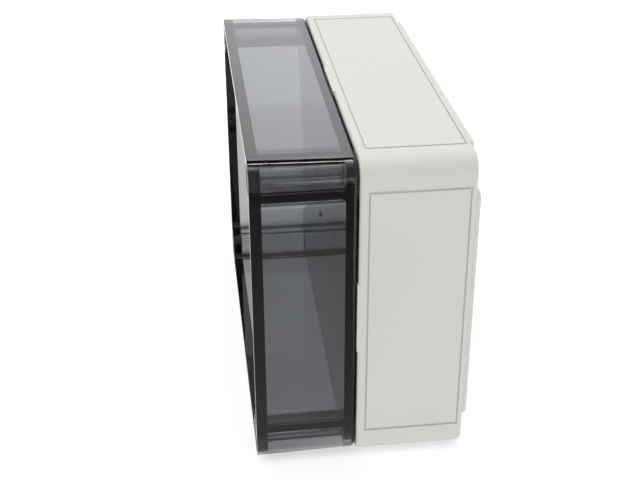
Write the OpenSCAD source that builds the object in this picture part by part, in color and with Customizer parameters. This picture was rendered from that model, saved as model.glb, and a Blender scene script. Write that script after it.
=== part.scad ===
/* [Case] */
// Width across the front
case_w = 180; // [150:1:240]
// Height across the front
case_h = 130; // [110:1:200]
// Radius of the four corners, seen from the front
corner_r = 7; // [6:0.5:9]
// Width of the plain zone at each corner, beside the side panels
corner_zone = 12.2; // [11.6:0.1:16]
// Dark joint between the base's rim and the lid's plate
seam_gap = 0.6; // [0.5:0.1:1.5]

/* [Base] */
// Depth from the rim to the back face at the corners
base_depth = 43.3; // [36:0.1:70]
// Thickness of the side walls
base_wall = 2.8; // [2.4:0.1:3.2]
// Thickness of the back wall, measured on the raised pad
floor_t = 2.8; // [2.4:0.1:4]
// How far the raised pad stands out behind the set-back corners
back_pad = 1.6; // [0.8:0.1:2]
// Size of each set-back corner of the back
back_notch = 15; // [12:0.5:18]
// How far the raised pad's outline lies inside the side walls
pad_inset = 0.8; // [0.5:0.1:1.5]
// Radius of the raised pad's outline corners
pad_r = 3; // [1:0.5:5]
// Radius of the raised pad's edges
pad_edge_r = 0.8; // [0.3:0.1:0.8]
// Radius of the edges round the back
back_edge_r = 1.5; // [0.8:0.1:2]
// Radius of the outer edge of the rim
rim_edge_r = 1.1; // [0.5:0.1:1.2]
// Length of the stop pad on each side of the rim
tab_l = 30; // [16:1:50]
// How far the stop pads of the long sides lie off the middle, towards the end on their right
tab_shift = 4; // [0:0.5:15]
// Gap that the stop pads leave under the lid's plate
tab_gap = 0.2; // [0.1:0.05:0.3]

/* [Side panels] */
// Distance of the panel outline from the rim
panel_rim_gap = 3.5; // [2.5:0.1:6]
// Distance of the panel outline from the back face
panel_back_gap = 2.4; // [2.2:0.1:6]
// Width of the grooves at the two ends of a panel
end_groove_w = 1.1; // [0.6:0.1:1.5]
// Width of the grooves along the rim and the back
long_groove_w = 0.7; // [0.4:0.1:1.2]
// Depth of the panel grooves
groove_t = 0.6; // [0.3:0.1:0.8]

/* [Inside of the base] */
// Distance of a wall-fixing hole from the two nearest outer faces
fixing_inset = 20; // [19:0.5:30]
// Diameter of a wall-fixing hole
fixing_d = 4.6; // [3.5:0.1:5.5]
// Wall round a fixing hole's collar
collar_t = 2.5; // [1.5:0.1:3]
// Height of a fixing hole's collar above the floor
collar_h = 3; // [1:0.5:6]
// Distance of an inner boss from the nearest end wall's outer face
boss_inset_w = 32; // [28:0.5:50]
// Distance of an inner boss from the nearest upper or lower wall's outer face
boss_inset_h = 30; // [28:0.5:40]
// Outer diameter of an inner boss
boss_d = 7.6; // [6:0.1:9]
// Height of an inner boss above the floor
boss_l = 9; // [6:0.5:20]
// Diameter of the pilot hole in an inner boss
boss_bore_d = 3.2; // [2.5:0.1:4]
// Depth of the pilot hole in an inner boss
boss_bore_l = 7.5; // [4:0.5:8]
// Diameter of the pilot hole for a wall lug in each set-back corner
lug_bore_d = 3.2; // [2.5:0.1:3.6]
// Depth of the pilot hole for a wall lug
lug_bore_l = 12; // [6:0.5:14]

/* [Lid] */
// Depth from the plate's back face to the open front edge
lid_depth = 39.5; // [24:0.1:60]
// Thickness of the side walls at the front
lid_wall = 3; // [2.6:0.1:3.2]
// How far the side walls draw in from the front to the plate
lid_draft = 0.8; // [0.3:0.1:0.9]
// Thickness of the plate that lies over the base
plate_t = 4.3; // [3.8:0.1:5.5]
// Diameter of the gate mark in the middle of the plate
gate_d = 2.4; // [1:0.1:4]
// Height of the gate mark
gate_h = 0.8; // [0.3:0.1:1.5]
// Thickness of the outer wall of a screw well at the front
well_wall = 2; // [1.8:0.1:2.4]
// Thickness of the wall between a screw well and the recess
column_wall = 2.3; // [1.8:0.1:2.8]
// Radius of the four inner edges of a screw well
well_r = 3.6; // [3:0.1:4]
// Width of the ledge that carries the well's cap
cap_ledge = 0.4; // [0.3:0.1:0.6]
// Radius of the edges round the open front
front_edge_r = 0.4; // [0.3:0.1:0.5]
// Radius of the plate's outer edge
plate_edge_r = 1.5; // [0.4:0.1:1.6]
// Thickness of the locating lip inside the base
lip_t = 1.2; // [0.8:0.1:1.6]
// How far the locating lip reaches below the base's rim
lip_reach = 1.8; // [1:0.1:3]
// Clearance between the locating lip and the base's wall
lip_clear = 0.4; // [0.3:0.05:0.6]

/* [Seals] */
// Width of the seal in the lid's front edge
edge_seal_w = 0.9; // [0.6:0.1:1]
// Depth of the seal in the lid's front edge
edge_seal_t = 4.4; // [2:0.1:6]
// Thickness of the skin between that seal and the recess
seal_skin = 0.55; // [0.5:0.05:0.6]
// Width of the gasket on the base's rim
gasket_w = 1; // [0.8:0.1:1.6]
// Clearance round the seals
seal_clear = 0.05; // [0.03:0.01:0.1]
// Radius of the outer corners of the inside, at the walls' outer face
seal_r = 6; // [4.8:0.1:7]
// Radius of the columns' inner edge, at the walls' outer face
column_r = 2; // [1:0.1:3]

/* [Lid screws] */
// Diameter of the shank
screw_d = 4; // [3:0.1:5]
// Diameter of the head
head_d = 8.8; // [7:0.1:9.2]
// Thickness of the head, which is sunk flush into the plate
head_t = 3; // [2:0.1:3.2]
// Radius of the head's upper edge
head_edge_r = 0.8; // [0.3:0.1:1]
// Clearance round the shank and the head
screw_clear = 0.25; // [0.2:0.05:0.4]
// Length of the shank inside the base's column
screw_reach = 16; // [10:0.5:20]
// Length of the tapered tip
tip_l = 1.5; // [0.5:0.1:3]
// Width of the driver slot
slot_w = 1.5; // [0.8:0.1:2]
// Depth of the driver slot
slot_t = 1.6; // [0.8:0.1:2]
// Spare depth of the column's bore under the screw's tip
bore_spare = 3; // [1:0.5:6]

/* [Well caps] */
// Thickness of a cap's top
cap_t = 3; // [2.4:0.1:5]
// Length of a cap's plug below the ledge
plug_l = 1.4; // [1:0.1:5]
// Wall of a cap's hollow plug
plug_wall = 1.2; // [0.8:0.1:2]
// Clearance of a cap in its well
cap_clear = 0.1; // [0.05:0.05:0.2]

/* [Hidden] */
$fn = 96;

// The case is drawn lying on its back, z up to the front, and is then stood on its lower side wall.
base_rim_z = back_pad + base_depth;
plate_z = base_rim_z + seam_gap;
front_z = plate_z + lid_depth;

// Insets from the outer face: the lip, the gasket and the groove of the front edge's seal
lip_inset = base_wall + lip_clear;
gasket_inset = base_wall - seal_clear - gasket_w;
groove_inset = lid_wall - seal_skin - edge_seal_w;

// Each screw well of the lid runs between these two distances from the outer faces
well_end = corner_zone + lid_wall - column_wall;
well_w = well_end - well_wall;
screw_inset = well_wall + well_w / 2;
screw_x = case_w / 2 - screw_inset;
screw_y = case_h / 2 - screw_inset;
recess_z = plate_z + plate_t;
head_seat_z = recess_z - head_t;
tip_z = base_rim_z - screw_reach;

// Places of the wall-fixing holes and of the inner bosses
fixing_x = case_w / 2 - fixing_inset;
fixing_y = case_h / 2 - fixing_inset;
boss_x = case_w / 2 - boss_inset_w;
boss_y = case_h / 2 - boss_inset_h;

// Overshoot of a cut beyond the face that it opens, and the smallest corner of the inside
over = 0.5;
least_r = 0.3;

// Stands the case up: its front faces -Y, its lower side wall rests on z = 0
module stand() {
    translate([0, front_z / 2, case_h / 2]) rotate([90, 0, 0]) children();
}

// One copy at each corner (x, y), in the four corners' mirrored positions
module each_corner(x, y) {
    for (sx = [-1, 1]) {
        for (sy = [-1, 1]) {
            translate([sx * x, sy * y, 0]) children();
        }
    }
}

// Rectangle with round corners, about the origin
module rounded_rect(w, h, r) {
    square([w - 2 * r, h], center = true);
    square([w, h - 2 * r], center = true);
    each_corner(w / 2 - r, h / 2 - r) circle(r);
}

// Section of an edge-rounded slab from its corner's centre line to its outer face, drawn in at its foot
module slab_section(r, t, low_r, high_r, draft) {
    foot = r - draft;
    difference() {
        polygon([[0, 0], [foot, 0], [foot, low_r], [r, t], [0, t]]);
        translate([foot - low_r, 0]) edge_waste(low_r, 0);
        if (high_r > 0) {
            translate([r - high_r, t - high_r]) edge_waste(high_r, 1);
        }
    }
}

// What an edge radius takes off a square corner, at its low side (0) or its high side (1)
module edge_waste(r, side) {
    difference() {
        translate([0, (side - 1) * over]) square(r + over);
        translate([0, (1 - side) * r]) circle(r);
    }
}

// Slab with round corners of radius r, rounded edges round its low and high faces, and a draft on its sides
module soft_slab(w, h, r, t, low_r, high_r, draft = 0) {
    straight_w = w - 2 * r;
    straight_h = h - 2 * r;
    translate([-straight_w / 2, -straight_h / 2, 0]) cube([straight_w, straight_h, t]);
    for (turn = [0, 180]) {
        rotate(turn) translate([straight_w / 2, straight_h / 2, 0]) rotate([90, 0, 0])
            linear_extrude(straight_h) slab_section(r, t, low_r, high_r, draft);
        rotate(turn) translate([-straight_w / 2, straight_h / 2, 0]) rotate([90, 0, 90])
            linear_extrude(straight_w) slab_section(r, t, low_r, high_r, draft);
        rotate(turn) translate([straight_w / 2, straight_h / 2, 0])
            rotate_extrude(angle = 90) slab_section(r, t, low_r, high_r, draft);
        rotate(turn) translate([-straight_w / 2, straight_h / 2, 0]) rotate(90)
            rotate_extrude(angle = 90) slab_section(r, t, low_r, high_r, draft);
    }
}

// Outline of the inside at an inset from the outer face: it steps round the four corner columns
module inside_outline(inset) {
    notch = corner_zone + inset;
    column_x = case_w / 2 - notch;
    column_y = case_h / 2 - notch;
    outer_r = max(least_r, seal_r - inset);
    inner_r = column_r + inset;
    rounded_rect(case_w - 2 * inset, case_h - 2 * notch, outer_r);
    rounded_rect(case_w - 2 * notch, case_h - 2 * inset, outer_r);
    for (sx = [0, 1]) {
        for (sy = [0, 1]) {
            mirror([sx, 0]) mirror([0, sy]) translate([column_x, column_y]) difference() {
                translate([-over, -over]) square(inner_r + over);
                translate([inner_r, inner_r]) circle(inner_r);
            }
        }
    }
}

// Grooves that outline the panel of one side wall, cut in from its outer face at y = 0
module panel_grooves(l) {
    low_z = back_pad + panel_back_gap;
    high_z = base_rim_z - panel_rim_gap;
    translate([0, groove_t, 0]) rotate([90, 0, 0]) linear_extrude(groove_t + over) {
        for (z = [low_z, high_z]) {
            translate([0, z]) square([l, long_groove_w], center = true);
        }
        for (x = [-l / 2, l / 2]) {
            translate([x, (low_z + high_z) / 2]) square([end_groove_w, high_z - low_z], center = true);
            translate([x, low_z]) circle(d = end_groove_w);
            translate([x, high_z]) circle(d = end_groove_w);
        }
    }
}

// Raised pad of the back: a cross that leaves the four corners set back
module back_pad_cross() {
    pad_t = max(back_pad, floor_t) + over;
    soft_slab(case_w - 2 * pad_inset, case_h - 2 * back_notch, pad_r, pad_t, pad_edge_r, 0);
    soft_slab(case_w - 2 * back_notch, case_h - 2 * pad_inset, pad_r, pad_t, pad_edge_r, 0);
}

module base() {
    tab_t = gasket_inset - seal_clear;
    tab_root = base_rim_z - 2 * rim_edge_r;
    tab_h = 2 * rim_edge_r + seam_gap - tab_gap;
    color([0.80, 0.79, 0.75]) stand() difference() {
        union() {
            translate([0, 0, back_pad])
                soft_slab(case_w, case_h, corner_r, base_depth, back_edge_r, rim_edge_r);
            back_pad_cross();
            for (turn = [0, 180]) {
                rotate(turn) translate([case_w / 2 - tab_t, -tab_l / 2, tab_root])
                    cube([tab_t, tab_l, tab_h]);
                rotate(turn) translate([tab_shift - tab_l / 2, case_h / 2 - tab_t, tab_root])
                    cube([tab_l, tab_t, tab_h]);
            }
        }
        difference() {
            translate([0, 0, floor_t]) linear_extrude(base_rim_z) inside_outline(base_wall);
            each_corner(fixing_x, fixing_y) cylinder(d = fixing_d + 2 * collar_t, h = floor_t + collar_h);
            each_corner(boss_x, boss_y) cylinder(d = boss_d, h = floor_t + boss_l);
        }
        each_corner(fixing_x, fixing_y)
            translate([0, 0, -over]) cylinder(d = fixing_d, h = floor_t + collar_h + 2 * over);
        each_corner(boss_x, boss_y)
            translate([0, 0, floor_t + boss_l - boss_bore_l])
                cylinder(d = boss_bore_d, h = boss_bore_l + over);
        each_corner(screw_x, screw_y) {
            translate([0, 0, tip_z - bore_spare])
                cylinder(d = screw_d + 2 * screw_clear, h = base_rim_z - tip_z + bore_spare + over);
            translate([0, 0, back_pad - over]) cylinder(d = lug_bore_d, h = lug_bore_l + over);
        }
        for (turn = [0, 180]) {
            rotate(turn) translate([0, -case_h / 2, 0]) panel_grooves(case_w - 2 * corner_zone);
            rotate(turn + 90) translate([0, -case_w / 2, 0]) panel_grooves(case_h - 2 * corner_zone);
        }
    }
}

// Outline of a screw well, made smaller by an inset; a larger corner of the case gives it rounder edges
module well_outline(inset) {
    side = well_w - 2 * inset;
    edge_r = max(well_r, corner_r - 2 * well_wall);
    rounded_rect(side, side, edge_r - inset);
}

module lid() {
    color([0.25, 0.27, 0.29, 0.55]) stand() difference() {
        union() {
            translate([0, 0, plate_z])
                soft_slab(case_w, case_h, corner_r, lid_depth, plate_edge_r, front_edge_r, lid_draft);
            translate([0, 0, base_rim_z - lip_reach])
                linear_extrude(lip_reach + seam_gap + over) difference() {
                    inside_outline(lip_inset);
                    inside_outline(lip_inset + lip_t);
                }
        }
        difference() {
            translate([0, 0, recess_z]) linear_extrude(lid_depth) inside_outline(lid_wall);
            translate([0, 0, recess_z - over]) cylinder(d = gate_d, h = gate_h + over);
        }
        translate([0, 0, front_z - edge_seal_t]) linear_extrude(edge_seal_t + over) difference() {
            inside_outline(groove_inset);
            inside_outline(groove_inset + edge_seal_w);
        }
        each_corner(screw_x, screw_y) {
            translate([0, 0, recess_z]) linear_extrude(lid_depth) well_outline(cap_ledge);
            translate([0, 0, front_z - cap_t]) linear_extrude(cap_t + over) well_outline(0);
            translate([0, 0, plate_z - over])
                cylinder(d = screw_d + 2 * screw_clear, h = plate_t + 2 * over);
            translate([0, 0, head_seat_z]) cylinder(d = head_d + 2 * screw_clear, h = head_t + over);
        }
    }
}

// Flat gasket on the base's rim, under the plate of the lid
module gasket() {
    color([0.06, 0.06, 0.065]) stand() translate([0, 0, base_rim_z + seal_clear])
        linear_extrude(seam_gap - 2 * seal_clear) difference() {
            inside_outline(gasket_inset);
            inside_outline(gasket_inset + gasket_w);
        }
}

// Seal in the groove of the lid's front edge
module edge_seal() {
    color([0.06, 0.06, 0.065]) stand() translate([0, 0, front_z - edge_seal_t + seal_clear])
        linear_extrude(edge_seal_t - 2 * seal_clear) difference() {
            inside_outline(groove_inset + seal_clear);
            inside_outline(groove_inset + edge_seal_w - seal_clear);
        }
}

// Lid screw at the corner (sx, sy): a round head with a driver slot, a plain shank and a tapered tip
module screw(sx, sy) {
    tip_d = screw_d - tip_l;
    color([0.08, 0.08, 0.085]) stand() translate([sx * screw_x, sy * screw_y, 0]) difference() {
        union() {
            translate([0, 0, head_seat_z]) rotate_extrude() difference() {
                square([head_d / 2, head_t]);
                translate([head_d / 2 - head_edge_r, head_t - head_edge_r]) edge_waste(head_edge_r, 1);
            }
            translate([0, 0, tip_z + tip_l]) cylinder(d = screw_d, h = head_seat_z - tip_z - tip_l + over);
            translate([0, 0, tip_z]) cylinder(d1 = tip_d, d2 = screw_d, h = tip_l);
        }
        translate([0, 0, recess_z - slot_t / 2 + over / 2])
            cube([head_d + 2 * over, slot_w, slot_t + over], center = true);
    }
}

// Cap that closes the screw well at the corner (sx, sy): a flat top on the ledge and a hollow plug
module cap(sx, sy) {
    color([0.06, 0.06, 0.065]) stand() translate([sx * screw_x, sy * screw_y, 0]) {
        translate([0, 0, front_z - cap_t]) linear_extrude(cap_t - cap_clear) well_outline(cap_clear);
        translate([0, 0, front_z - cap_t - plug_l]) linear_extrude(plug_l + over) difference() {
            well_outline(cap_ledge + cap_clear);
            well_outline(cap_ledge + cap_clear + plug_wall);
        }
    }
}

base();
lid();
gasket();
edge_seal();
screw(-1, 1);  // screw_top_left
screw(1, 1);  // screw_top_right
screw(-1, -1);  // screw_bottom_left
screw(1, -1);  // screw_bottom_right
cap(-1, 1);  // cap_top_left
cap(1, 1);  // cap_top_right
cap(-1, -1);  // cap_bottom_left
cap(1, -1);  // cap_bottom_right
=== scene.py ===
# Plastic wall enclosure: a light grey base under a smoked lid whose walls stand forward and leave
# its front open. Lengths are in metres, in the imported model's own frame: the front faces -Y and the
# case stands on z = 0.
from math import cos, pi, radians, sin

import bmesh
import bpy
from mathutils import Matrix, Vector


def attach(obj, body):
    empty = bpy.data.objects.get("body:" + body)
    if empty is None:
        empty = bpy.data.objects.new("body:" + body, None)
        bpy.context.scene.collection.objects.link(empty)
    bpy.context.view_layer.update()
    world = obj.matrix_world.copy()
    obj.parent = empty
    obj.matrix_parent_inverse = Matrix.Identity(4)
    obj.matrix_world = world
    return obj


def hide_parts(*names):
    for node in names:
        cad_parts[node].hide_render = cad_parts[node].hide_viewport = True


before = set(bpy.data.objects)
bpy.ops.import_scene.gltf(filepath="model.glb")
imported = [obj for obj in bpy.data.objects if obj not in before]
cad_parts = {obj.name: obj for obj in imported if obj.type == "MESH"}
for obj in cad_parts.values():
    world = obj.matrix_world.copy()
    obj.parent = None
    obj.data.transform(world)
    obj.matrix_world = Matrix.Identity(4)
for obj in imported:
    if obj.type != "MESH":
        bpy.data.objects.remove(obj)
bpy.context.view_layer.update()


# Base: the deep half that takes the fittings, with corner columns, panel grooves and a back pad.
# One light grey injection moulding of ABS, its outside eroded to a fine matt grain. It stands on
# its lower side wall.
class Wire:
    """A socket of a node tree. Operators add Math nodes, and node() adds any other kind."""

    def __init__(self, tree, socket=None):
        self.tree = tree
        self.socket = socket

    def node(self, kind, settings, sockets, out=0):
        made = self.tree.nodes.new(kind)
        for name, value in settings.items():
            setattr(made, name, value)
        for name, value in sockets.items():
            for source in value if isinstance(value, list) else [value]:
                if isinstance(source, Wire):
                    self.tree.links.new(source.socket, made.inputs[name])
                else:
                    made.inputs[name].default_value = source
        return Wire(self.tree, made.outputs[out] if len(made.outputs) else None)

    def math(self, operation, first, second):
        return self.node("ShaderNodeMath", {"operation": operation}, {0: first, 1: second})

    def __add__(self, other):
        return self.math("ADD", self, other)

    def __sub__(self, other):
        return self.math("SUBTRACT", self, other)

    def __rsub__(self, other):
        return self.math("SUBTRACT", other, self)

    def __mul__(self, other):
        return self.math("MULTIPLY", self, other)

    def __truediv__(self, other):
        return self.math("DIVIDE", self, other)

    def __rtruediv__(self, other):
        return self.math("DIVIDE", other, self)

    __radd__ = __add__
    __rmul__ = __mul__


def new_finish(name):
    """An empty material and the wire of its Object coordinates."""
    finish = bpy.data.materials.new(name)
    finish.use_nodes = True
    finish.node_tree.nodes.clear()
    return finish, Wire(finish.node_tree).node("ShaderNodeTexCoord", {}, {}, out="Object")


def noise(place, **sockets):
    """A noise pattern on Object coordinates."""
    return place.node("ShaderNodeTexNoise", {}, {"Vector": place, **sockets})


def relief(height, strength, distance):
    """A bumpy surface from the wire of its height."""
    return height.node(
        "ShaderNodeBump", {}, {"Strength": strength, "Distance": distance, "Height": height}
    )


def blend_colours(share, low, high):
    """A colour between two, by a wire's value."""
    return share.node(
        "ShaderNodeMix", {"data_type": "RGBA"}, {"Factor": share, 6: low, 7: high}, out=2
    )


def close_finish(place, sockets, **ends):
    """Ends a material: its shader and the output."""
    shell = place.node("ShaderNodeBsdfPrincipled", {}, sockets)
    place.node("ShaderNodeOutputMaterial", {}, {"Surface": shell, **ends})


def dress(node, finish):
    """Gives a CAD node its finish."""
    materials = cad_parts[node].data.materials
    materials.clear()
    materials.append(finish)


grey_abs, place = new_finish("grey_abs")
flow = noise(place, Scale=22.0, Detail=3.0, Roughness=0.55)
grain = noise(place, Scale=2400.0, Detail=2.0)
pits = place.node("ShaderNodeTexVoronoi", {"feature": "F1"}, {"Vector": place, "Scale": 1500.0})
speck = noise(place, Scale=900.0, Detail=2.0)
warm_grey, pale_grey = (0.664, 0.653, 0.606, 1), (0.704, 0.695, 0.658, 1)
close_finish(
    place,
    {
        "Base Color": blend_colours(0.7 * flow + 0.3 * speck, warm_grey, pale_grey),
        "Roughness": 0.46 + 0.08 * flow + 0.06 * grain,
        "Normal": relief(0.7 * grain + 0.3 * pits, strength=0.22, distance=0.00005),
        "IOR": 1.52,
    },
)
dress("base", grey_abs)

# Gasket: the strip of black cellular rubber on the base's rim, which steps in round the columns.
# Cut from sheet, stuck down inside the stop pads, and pressed flat by the lid's plate.
half_w, half_d, half_h = 0.09, 0.0425, 0.065
corner_zone = 0.0122
case_corner_r, column_corner_r = 0.006, 0.002
gasket_inset = 0.00225


def inside_path(inset, corner_points=8):
    """Points of the outline at an inset from the outer faces, which steps round the columns."""
    outer_r, inner_r = case_corner_r - inset, column_corner_r + inset
    wide, high = half_w - inset, half_h - inset
    near_w, near_h = half_w - corner_zone - inset, half_h - corner_zone - inset
    quarter = []
    for middle_x, middle_y, radius, start, stop in (
        (wide - outer_r, near_h - outer_r, outer_r, 0, 90),
        (near_w + inner_r, near_h + inner_r, inner_r, 270, 180),
        (near_w - outer_r, high - outer_r, outer_r, 0, 90),
    ):
        for step in range(corner_points + 1):
            angle = radians(start + (stop - start) * step / corner_points)
            quarter.append((middle_x + radius * cos(angle), middle_y + radius * sin(angle)))
    upper = quarter + [(-x, y) for x, y in reversed(quarter)]
    return upper + [(-x, -y) for x, y in upper]


def closed_curve(name, points):
    """A closed poly curve through points of the front plane."""
    curve = bpy.data.curves.new(name, "CURVE")
    curve.dimensions = "3D"
    spline = curve.splines.new("POLY")
    spline.points.add(len(points) - 1)
    for knot, (x, y) in zip(spline.points, points):
        knot.co = (x, y, 0, 1)
    spline.use_cyclic_u = True
    return curve


def new_tree(name, inputs):
    """A Geometry Nodes tree with named inputs, and the wires of its inputs by name."""
    tree = bpy.data.node_groups.new(name, "GeometryNodeTree")
    tree.interface.new_socket("Geometry", in_out="OUTPUT", socket_type="NodeSocketGeometry")
    tree.interface.new_socket("Geometry", in_out="INPUT", socket_type="NodeSocketGeometry")
    for label, kind in inputs.items():
        tree.interface.new_socket(label, in_out="INPUT", socket_type="NodeSocket" + kind)
    entry = tree.nodes.new("NodeGroupInput")
    return tree, {socket.name: Wire(tree, socket) for socket in entry.outputs if socket.name}


def move(shape, sockets):
    """Moves or turns the geometry of a wire."""
    return shape.node("GeometryNodeTransform", {}, {"Geometry": shape, **sockets})


def raise_by(shape, height):
    """Lifts the geometry of a wire by another wire's value."""
    lift = height.node("ShaderNodeCombineXYZ", {}, {"Z": height})
    return move(shape, {"Translation": lift})


def close_tree(shape, finish):
    """Ends a tree: the case's stand, real geometry, the finish and the output."""
    stood = move(shape, {"Rotation": (pi / 2, 0, 0), "Translation": (0, half_d, half_h)})
    real = shape.node("GeometryNodeRealizeInstances", {}, {"Geometry": stood})
    done = shape.node("GeometryNodeSetMaterial", {}, {"Geometry": real, "Material": finish})
    shape.node("NodeGroupOutput", {}, {"Geometry": done})


def grow(name, data, tree, values):
    """Runs a tree on some data and returns the result as a plain mesh object at the origin."""
    seed = bpy.data.objects.new(name + "_seed", data)
    bpy.context.scene.collection.objects.link(seed)
    maker = seed.modifiers.new("maker", "NODES")
    maker.node_group = tree
    for socket in tree.interface.items_tree:
        if socket.in_out == "INPUT" and socket.name in values:
            maker[socket.identifier] = values[socket.name]
    ready = bpy.context.evaluated_depsgraph_get()
    mesh = bpy.data.meshes.new_from_object(seed.evaluated_get(ready), depsgraph=ready)
    mesh.name = name
    seed.modifiers.remove(maker)
    bpy.data.objects.remove(seed)
    merged = bmesh.new()
    merged.from_mesh(mesh)
    bmesh.ops.remove_doubles(merged, verts=merged.verts, dist=1e-7)
    bmesh.ops.recalc_face_normals(merged, faces=merged.faces)
    merged.to_mesh(mesh)
    merged.free()
    piece = bpy.data.objects.new(name, mesh)
    bpy.context.scene.collection.objects.link(piece)
    return piece


def grey(tone):
    """A neutral colour."""
    return (tone, tone, tone, 1)


strip_tree, entry = new_tree(
    "seal_strip",
    {
        "Width": "Float",
        "Height": "Float",
        "Edge": "Float",
        "Middle": "Float",
        "Finish": "Material",
    },
)
path = entry["Geometry"]
section = path.node(
    "GeometryNodeCurvePrimitiveQuadrilateral",
    {},
    {"Width": entry["Width"], "Height": entry["Height"]},
)
section = path.node(
    "GeometryNodeFilletCurve",
    {"mode": "POLY"},
    {"Curve": section, "Count": 4, "Radius": entry["Edge"]},
)
upright = path.node("GeometryNodeSetCurveNormal", {"mode": "Z_UP"}, {"Curve": path})
strip = path.node("GeometryNodeCurveToMesh", {}, {"Curve": upright, "Profile Curve": section})
close_tree(raise_by(strip, entry["Middle"]), entry["Finish"])

black_foam, place = new_finish("black_foam")
cells = place.node(
    "ShaderNodeTexVoronoi", {"feature": "SMOOTH_F1"}, {"Vector": place, "Scale": 2600.0}
)
bloom = noise(place, Scale=260.0, Detail=3.0)
close_finish(
    place,
    {
        "Base Color": blend_colours(bloom, grey(0.005), (0.014, 0.014, 0.015, 1)),
        "Roughness": 0.72 + 0.2 * cells,
        "Normal": relief(cells, strength=0.6, distance=0.00012),
        "Specular IOR Level": 0.35,
    },
)

gasket = grow(
    "rim_gasket",
    closed_curve("rim_gasket_path", inside_path(gasket_inset)),
    strip_tree,
    {
        "Width": 0.00096,
        "Height": 0.00050,
        "Edge": 0.00015,
        "Middle": 0.0452,
        "Finish": black_foam,
    },
)
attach(gasket, "base")
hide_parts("gasket")

# Lid: the smoked half, a plate over the base with walls that stand forward round an open recess.
# One polished moulding of grey polycarbonate, faintly wavy from the flow of the melt. Its walls get
# thinner towards the base, where painted shade darkens its colour to keep one brightness, except
# round the wells.
lid_front, lid_seam = -half_d, -0.003
column_x, column_z = 0.075, 0.050
painted_shade_tint = (0.82, 0.82, 0.825, 1)
smoke_colour = (0.10, 0.13, 0.165, 1)

smoked, place = new_finish("smoked_polycarbonate")
wave = noise(place, Scale=30.0, Detail=1.0, Distortion=0.4)
haze = noise(place, Scale=140.0, Detail=4.0)
depth = place.node("ShaderNodeSeparateXYZ", {}, {"Vector": place}, out="Y")
to_base = place.node(
    "ShaderNodeMapRange", {}, {"Value": depth, "From Min": lid_front, "From Max": lid_seam}
)
from_middle = place.node(
    "ShaderNodeVectorMath", {"operation": "SUBTRACT"}, {0: place, 1: (0, 0, half_h)}
)
beside = place.node("ShaderNodeVectorMath", {"operation": "ABSOLUTE"}, {0: from_middle})
past_x = place.node("ShaderNodeSeparateXYZ", {}, {"Vector": beside}, out="X") - column_x
past_z = place.node("ShaderNodeSeparateXYZ", {}, {"Vector": beside}, out="Z") - column_z
column = place.math("GREATER_THAN", place.math("MINIMUM", past_x, past_z), 0.0)
smoke = place.node(
    "ShaderNodeVolumeAbsorption", {}, {"Color": smoke_colour, "Density": 300.0}
)
close_finish(
    place,
    {
        # Painted shade: the colour darkens from the front edge towards the base, but not in the
        # corner columns.
        "Base Color": blend_colours(
            (to_base + 0.1 * haze) * (1 - column), grey(1), painted_shade_tint
        ),
        "Roughness": 0.0,
        "Normal": relief(wave, strength=0.5, distance=0.00008),
        "IOR": 1.585,
        "Transmission Weight": 1.0,
    },
    Volume=smoke,
)
dress("lid", smoked)

# Edge seal: the black cellular rubber strip that fills the groove of the lid's front edge, flush.
# The same sheet as the gasket, cut deeper and pressed into the groove, so it needs no glue.
edge_seal_inset = 0.0020
edge_seal = grow(
    "front_edge_seal",
    closed_curve("front_edge_path", inside_path(edge_seal_inset)),
    strip_tree,
    {
        "Width": 0.00093,
        "Height": 0.00437,
        "Edge": 0.00012,
        "Middle": 0.082765,
        "Finish": black_foam,
    },
)
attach(edge_seal, "lid")
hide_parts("edge_seal")


# Lid screws: four black screws at the bottom of the wells, their heads sunk flush into the plate.
# Moulded in glass-filled nylon, with a coarse thread for the base's columns, a round-edged head and
# one driver slot.
def turned(name, profile, sides=40):
    """A solid of revolution about z, from (radius, height) points, lower end first."""
    body = bmesh.new()
    rings = []
    for radius, height in profile:
        angles = [2 * pi * side / sides for side in range(sides)]
        rings.append([body.verts.new((radius * cos(a), radius * sin(a), height)) for a in angles])
    for low, high in zip(rings, rings[1:]):
        for side in range(sides):
            after = (side + 1) % sides
            body.faces.new((low[side], low[after], high[after], high[side]))
    body.faces.new(list(reversed(rings[0])))
    body.faces.new(rings[-1])
    mesh = bpy.data.meshes.new(name)
    body.to_mesh(mesh)
    body.free()
    return mesh


screw_tree, entry = new_tree(
    "lid_screw",
    {
        "Core Radius": "Float",
        "Thread Depth": "Float",
        "Thread Start": "Float",
        "Thread Length": "Float",
        "Pitch": "Float",
        "Slot": "Vector",
        "Head Top": "Float",
        "Place": "Vector",
        "Finish": "Material",
    },
)
blank = entry["Geometry"]
helix = blank.node(
    "GeometryNodeCurveSpiral",
    {},
    {
        "Resolution": 28,
        "Rotations": entry["Thread Length"] / entry["Pitch"],
        "Start Radius": entry["Core Radius"],
        "End Radius": entry["Core Radius"],
        "Height": entry["Thread Length"],
    },
)
ridge = blank.node(
    "GeometryNodeCurvePrimitiveCircle", {}, {"Resolution": 6, "Radius": entry["Thread Depth"]}
)
thread = blank.node(
    "GeometryNodeCurveToMesh", {}, {"Curve": helix, "Profile Curve": ridge, "Fill Caps": True}
)
thread = raise_by(thread, entry["Thread Start"])
cutter = blank.node("GeometryNodeMeshCube", {}, {"Size": entry["Slot"]})
slotted = blank.node(
    "GeometryNodeMeshBoolean",
    {"operation": "DIFFERENCE", "solver": "EXACT"},
    {"Mesh 1": blank, "Mesh 2": raise_by(cutter, entry["Head Top"])},
)
whole = blank.node("GeometryNodeJoinGeometry", {}, {"Geometry": [slotted, thread]})
close_tree(move(whole, {"Translation": entry["Place"]}), entry["Finish"])

nylon, place = new_finish("black_nylon")
fibre = noise(place, Scale=1500.0, Detail=3.0, Distortion=1.5)
close_finish(
    place,
    {
        "Base Color": blend_colours(fibre, grey(0.008), (0.022, 0.022, 0.023, 1)),
        "Roughness": 0.30 + 0.15 * fibre,
        "Normal": relief(fibre, strength=0.25, distance=0.00005),
    },
)

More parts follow.
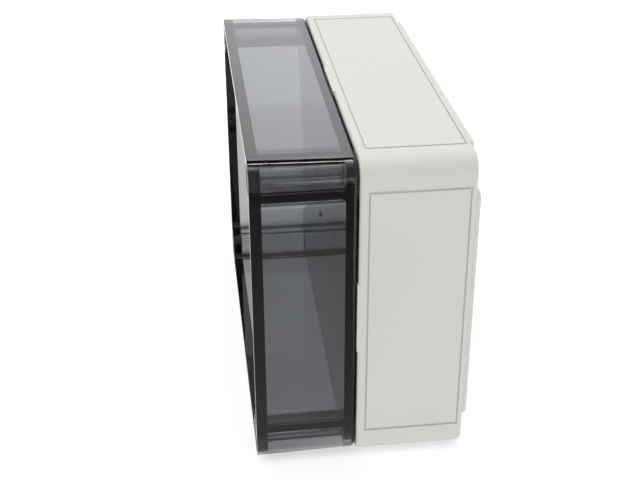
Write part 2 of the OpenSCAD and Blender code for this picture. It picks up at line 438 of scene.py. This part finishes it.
screw_x, screw_y = 0.08255, 0.05755
end_r, tip_r, shank_r, neck_r, head_r = 0.0011, 0.00125, 0.00172, 0.00195, 0.0044
end_z, thread_z, shank_z, neck_z = 0.0289, 0.0304, 0.0447, 0.0450
seat_z, head_z = 0.0468, 0.0498
chamfer, head_edge_r = 0.0001, 0.0008
edge_r, edge_z = head_r - head_edge_r, head_z - head_edge_r
screw_profile = [
    (end_r, end_z),
    (tip_r, end_z + chamfer),
    (shank_r, thread_z),
    (shank_r, shank_z),
    (neck_r, neck_z),
    (neck_r, seat_z),
    (head_r - chamfer, seat_z),
    (head_r, seat_z + chamfer),
]
for angle in (90, 72, 54, 36, 18, 0):
    turn = radians(angle)
    screw_profile.append((edge_r + head_edge_r * sin(turn), edge_z + head_edge_r * cos(turn)))
corners = {
    "top_left": (-1, 1),
    "top_right": (1, 1),
    "bottom_left": (-1, -1),
    "bottom_right": (1, -1),
}
for corner, (side_x, side_y) in corners.items():
    screw = grow(
        "lid_screw_" + corner,
        turned("screw_blank_" + corner, screw_profile),
        screw_tree,
        {
            "Core Radius": 0.0017,
            "Thread Depth": 0.0004,
            "Thread Start": 0.0302,
            "Thread Length": 0.0143,
            "Pitch": 0.0014,
            "Slot": (0.012, 0.0015, 0.0032),
            "Head Top": head_z,
            "Place": (side_x * screw_x, side_y * screw_y, 0),
            "Finish": nylon,
        },
    )
    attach(screw, "screw_" + corner)
    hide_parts("screw_" + corner)

# Well caps: four black plugs in the mouths of the screw wells, each on a small ledge and flush with
# the front edge. Moulded in soft polyethylene with a fine satin grain; they pull out to give way to
# a screwdriver.
satin, place = new_finish("black_satin")
skin = noise(place, Scale=2000.0, Detail=2.0)
rub = noise(place, Scale=190.0, Detail=3.0)
close_finish(
    place,
    {
        "Base Color": blend_colours(rub, (0.003, 0.003, 0.0033, 1), (0.008, 0.008, 0.0085, 1)),
        "Roughness": 0.38 + 0.12 * rub,
        "Normal": relief(skin, strength=0.25, distance=0.00005),
        "Specular IOR Level": 0.25,
    },
)
for corner in corners:
    dress("cap_" + corner, satin)

# Studio: a white table that glows, with a painted pool of light behind the case and a painted
# shadow under it, in a pale room.
# A softbox hangs overhead, a bluish one stands low behind, and a narrow one draws the near edges.
# Three dark cards that only reflections show keep glare off the gloss of the end facing the lens.
room_tone = 0.75
scene = bpy.context.scene
scene.view_settings.view_transform = "Standard"
world = bpy.data.worlds.new("studio")
scene.world = world
world.use_nodes = True
room = Wire(world.node_tree)
world.node_tree.nodes.clear()
glow = room.node("ShaderNodeBackground", {}, {"Color": grey(room_tone)})
room.node("ShaderNodeOutputWorld", {}, {"Surface": glow})


def panel(name, points, finish):
    """A flat sheet between four points, which is part of the studio."""
    mesh = bpy.data.meshes.new(name)
    mesh.from_pydata(points, [], [(0, 1, 2, 3)])
    mesh.materials.append(finish)
    sheet = bpy.data.objects.new(name, mesh)
    scene.collection.objects.link(sheet)
    return sheet


def level_sheet(x_range, y_range, z):
    """The four points of a sheet that lies level."""
    (left, right), (front, back) = x_range, y_range
    return [(left, front, z), (right, front, z), (right, back, z), (left, back, z)]


def soft_step(value, low, high):
    """A share that rises softly from 0 to 1 as a wire's value goes from low to high."""
    return value.node(
        "ShaderNodeMapRange",
        {"interpolation_type": "SMOOTHSTEP"},
        {"Value": value, "From Min": low, "From Max": high},
    )


table_span = (-6.0, 6.0)
painted_light_glow, painted_shadow_glow = 1.62, 0.74
slow_share, quick_share = 0.2, 0.8
light_table, place = new_finish("light_table")
along = place.node("ShaderNodeSeparateXYZ", {}, {"Vector": place})
across = place.node("ShaderNodeSeparateXYZ", {}, {"Vector": place}, out="Y")
aside = across.node("ShaderNodeMath", {"operation": "ABSOLUTE"}, {0: across})
# Painted light: the table's glow rises behind the case, then fades again far back.
slow_rise = soft_step(along, low=-0.16, high=-0.27)
quick_rise = soft_step(along, low=-0.276, high=-0.300)
far_fade = soft_step(along, low=-1.3, high=-0.7)
# Painted shadow of the case: these shares dim the table's glow under it, fading out behind, before
# and beside it.
behind = soft_step(along, low=-0.150, high=-0.095)
before = soft_step(along, low=0.093, high=0.086)
beside = soft_step(aside, low=0.043, high=0.036)
rise = far_fade * (slow_share * slow_rise + quick_share * quick_rise)
painted_light_backdrop = blend_colours(rise, grey(1), grey(painted_light_glow))
close_finish(
    place,
    {
        "Base Color": grey(0.25),
        "Roughness": 0.9,
        "Specular IOR Level": 0.0,
        "Emission Color": blend_colours(behind * before * beside, painted_light_backdrop, grey(painted_shadow_glow)),
        "Emission Strength": 0.82,
    },
)
panel("table", level_sheet(table_span, table_span, 0), light_table)

lens_x, far_x = 1.1, -1.9
card_side, card_top = 0.7, 1.2
near_x, near_side, near_z = 0.092, 0.045, 0.001
before_tone, lens_tone, above_tone = 0.062, 0.10, 0.06
card_before = level_sheet((near_x, lens_x), (-card_side, near_side), near_z)
card_behind_lens = [
    (lens_x, -card_side, 0),
    (lens_x, card_side, 0),
    (lens_x, card_side, card_top),
    (lens_x, -card_side, card_top),
]
card_above = [
    (far_x, -card_side, card_top),
    (far_x, card_side, card_top),
    (lens_x, card_side, card_top),
    (lens_x, -card_side, card_top),
]
for name, tone, points in (
    ("card_before", before_tone, card_before),
    ("card_behind_lens", lens_tone, card_behind_lens),
    ("card_above", above_tone, card_above),
):
    card_face, place = new_finish(name)
    shade = grey(tone)
    # The card before the case glows as painted light seen in reflections, fading with distance from
    # the case.
    if name == "card_before":
        along = place.node("ShaderNodeSeparateXYZ", {}, {"Vector": place})
        shade = blend_colours(tone / along, grey(0), grey(1))
    close_finish(
        place,
        {
            "Base Color": grey(0),
            "Roughness": 1.0,
            "Specular IOR Level": 0.0,
            "Emission Color": shade,
            "Emission Strength": 1.0,
        },
    )
    card = panel(name, points, card_face)
    card.visible_camera = card.visible_diffuse = False
    card.visible_transmission = card.visible_shadow = False


def softbox(name, spot, aim, size, power):
    """A rectangular lamp that faces a point."""
    lamp = bpy.data.lights.new(name, "AREA")
    lamp.shape = "RECTANGLE"
    lamp.size, lamp.size_y = size
    lamp.energy = power
    holder = bpy.data.objects.new(name, lamp)
    holder.location = spot
    holder.rotation_euler = (Vector(aim) - Vector(spot)).to_track_quat("-Z", "Y").to_euler()
    scene.collection.objects.link(holder)
    return holder


overhead = softbox(
    "overhead", spot=(-0.25, -0.2, 1.6), aim=(0, 0, 0.06), size=(1.6, 1.6), power=8.8
)
overhead.visible_glossy = False
back_sweep = softbox(
    "back_sweep", spot=(-1.3, 0.20, 0.62), aim=(0, 0, 0.1), size=(0.6, 0.5), power=0.66
)
back_sweep.data.color = (0.965, 0.98, 1.06)
softbox(
    "edge_light", spot=(-0.42, 0.08, 1.12), aim=(0.085, -0.02, 0.13), size=(0.4, 0.12), power=1.6
)

# Camera: above the right-hand end of the case and turned a little to the front, where the
# photograph was taken from.
camera_place = (0.45001, -0.06129, 0.29558)
azimuth, elevation, roll = radians(-7.008), radians(28.320), radians(-0.113)
look = Vector((-cos(azimuth) * cos(elevation), -sin(azimuth) * cos(elevation), -sin(elevation)))
right = look.cross(Vector((0, 0, 1))).normalized()
up = right.cross(look)
rolled_right = cos(roll) * right + sin(roll) * up
rolled_up = cos(roll) * up - sin(roll) * right
lens = bpy.data.cameras.new("camera")
lens.sensor_width = 36
lens.lens = 63.70
lens.clip_start = 0.01
camera = bpy.data.objects.new("camera", lens)
stance = Matrix((rolled_right, rolled_up, -look)).transposed()
camera.matrix_world = Matrix.Translation(camera_place) @ stance.to_4x4()
scene.collection.objects.link(camera)
scene.camera = camera
